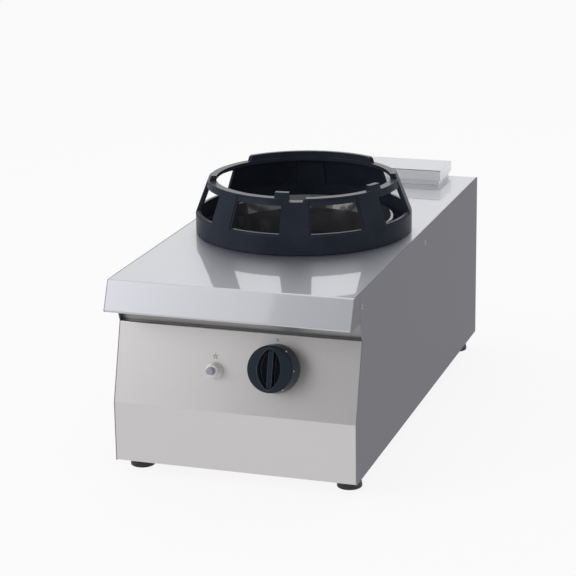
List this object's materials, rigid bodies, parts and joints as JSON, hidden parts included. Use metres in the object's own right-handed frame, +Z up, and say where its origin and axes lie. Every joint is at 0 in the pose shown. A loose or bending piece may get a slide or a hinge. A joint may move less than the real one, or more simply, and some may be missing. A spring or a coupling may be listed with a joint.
{
  "type": "gas wok range",
  "caption": "Table-top stainless gas wok range with a cast wok ring, low flue box, sloping control panel, tap knob and push igniter.",
  "frame": {"origin": "middle of the footprint on the surface that the feet stand on", "axes": "+X to the user's right, +Y to the back, +Z up; the control panel faces -Y"},
  "size_m": [0.4, 0.84, 0.424],
  "materials": {
    "stainless": "brushed, directional grain",
    "galvanised": "plain rolled sheet",
    "cast_iron": "black satin enamel over a cast skin",
    "bowl_enamel": "black gloss enamel on pressed steel",
    "burner_iron": "heat-dulled casting",
    "brass": "turned brass",
    "plated_steel": "zinc plated",
    "knob_plastic": "black gloss moulding",
    "foot_plastic": "black matt moulding",
    "igniter_pale": "pale moulded collar",
    "igniter_button": "silvery button",
    "ceramic": "glazed ceramic",
    "lead": "silicone sleeve",
    "copper": "bare copper"
  },
  "bodies": {
    "casing": {"worktop": "stainless", "fascia_cap_left": "stainless", "fascia_cap_right": "stainless", "side_panel_left": "stainless", "side_panel_right": "stainless", "control_panel": "stainless", "front_rail": "stainless", "back_panel": "galvanised", "back_panel_screws": "plated_steel", "base_tray": "galvanised", "joining_inserts": "plated_steel", "foot_nuts": "plated_steel", "flue_plinth": "stainless", "flue_cover": "stainless", "flue_lid": "stainless", "spill_bowl": "bowl_enamel", "burner_body": "burner_iron", "burner_bracket": "galvanised", "burner_screws": "plated_steel", "mixer_tube": "burner_iron", "injector_holder": "brass", "injector": "brass", "pilot_bracket": "plated_steel", "pilot_burner": "brass", "thermocouple": "copper", "spark_ceramic": "ceramic", "spark_wire": "plated_steel", "tap_body": "brass", "tap_bonnet": "brass", "tap_screws": "plated_steel", "magnet_unit": "brass", "igniter_bezel": "igniter_pale", "igniter_body": "knob_plastic", "igniter_nut": "plated_steel", "manifold_pipe": "plated_steel", "manifold_plug": "plated_steel", "manifold_saddle": "plated_steel", "supply_elbow": "plated_steel", "inlet_pipe": "plated_steel", "gas_inlet": "brass", "inlet_locknut": "brass", "feed_pipe": "plated_steel", "pipe_nuts": "brass", "pilot_pipe": "copper", "thermocouple_lead": "copper", "ignition_lead": "lead"},
    "ring": {"wok_ring": "cast_iron"},
    "crown": {"burner_crown": "burner_iron"},
    "cap": {"burner_cap": "burner_iron"},
    "shutter": {"air_shutter": "plated_steel"},
    "pin": {"thrust_pin": "plated_steel"},
    "turner": {"tap_spindle": "plated_steel", "knob": "knob_plastic", "knob_bush": "brass"},
    "plug": {"tap_plug": "brass"},
    "button": {"igniter_button": "igniter_button"},
    "foot_front_left": {"foot_front_left": "foot_plastic"},
    "foot_front_right": {"foot_front_right": "foot_plastic"},
    "foot_back_left": {"foot_back_left": "foot_plastic"},
    "foot_back_right": {"foot_back_right": "foot_plastic"}
  },
  "joints": [
    {"name": "ring_lift", "type": "slide", "parent": "casing", "child": "ring", "axis": [0, 0, 1], "range_m": [0, 0.12]},
    {"name": "crown_lift", "type": "slide", "parent": "casing", "child": "crown", "axis": [0, 0, 1], "range_m": [0, 0.06]},
    {"name": "cap_lift", "type": "slide", "parent": "crown", "child": "cap", "axis": [0, 0, 1], "range_m": [0, 0.05]},
    {"name": "shutter_slide", "type": "slide", "parent": "casing", "child": "shutter", "axis": [0, -1, 0], "range_m": [0, 0.012]},
    {"name": "knob_push", "type": "slide", "parent": "casing", "child": "pin", "axis": [0, 0.9609, -0.2768], "range_m": [0, 0.0025], "stiffness_N_per_m": 2500, "springref_m": -0.002},
    {"name": "knob_turn", "type": "hinge", "parent": "pin", "child": "turner", "pos_m": [0.066, -0.37295, 0.19311], "axis": [0, -0.9609, 0.2768], "range_deg": [0, 155]},
    {"name": "plug_turn", "type": "hinge", "parent": "casing", "child": "plug", "pos_m": [0.066, -0.37295, 0.19311], "axis": [0, -0.9609, 0.2768], "range_deg": [0, 155]},
    {"name": "igniter_press", "type": "slide", "parent": "casing", "child": "button", "axis": [0, 0.9609, -0.2768], "range_m": [0, 0.005], "stiffness_N_per_m": 1500, "springref_m": -0.002},
    {"name": "foot_front_left_screw", "type": "slide", "parent": "casing", "child": "foot_front_left", "axis": [0, 0, -1], "range_m": [0, 0.015]},
    {"name": "foot_front_right_screw", "type": "slide", "parent": "casing", "child": "foot_front_right", "axis": [0, 0, -1], "range_m": [0, 0.015]},
    {"name": "foot_back_left_screw", "type": "slide", "parent": "casing", "child": "foot_back_left", "axis": [0, 0, -1], "range_m": [0, 0.015]},
    {"name": "foot_back_right_screw", "type": "slide", "parent": "casing", "child": "foot_back_right", "axis": [0, 0, -1], "range_m": [0, 0.015]}
  ],
  "couplings": [
    {"joint": "plug_turn", "follows": "knob_turn", "ratio": 1}
  ]
}
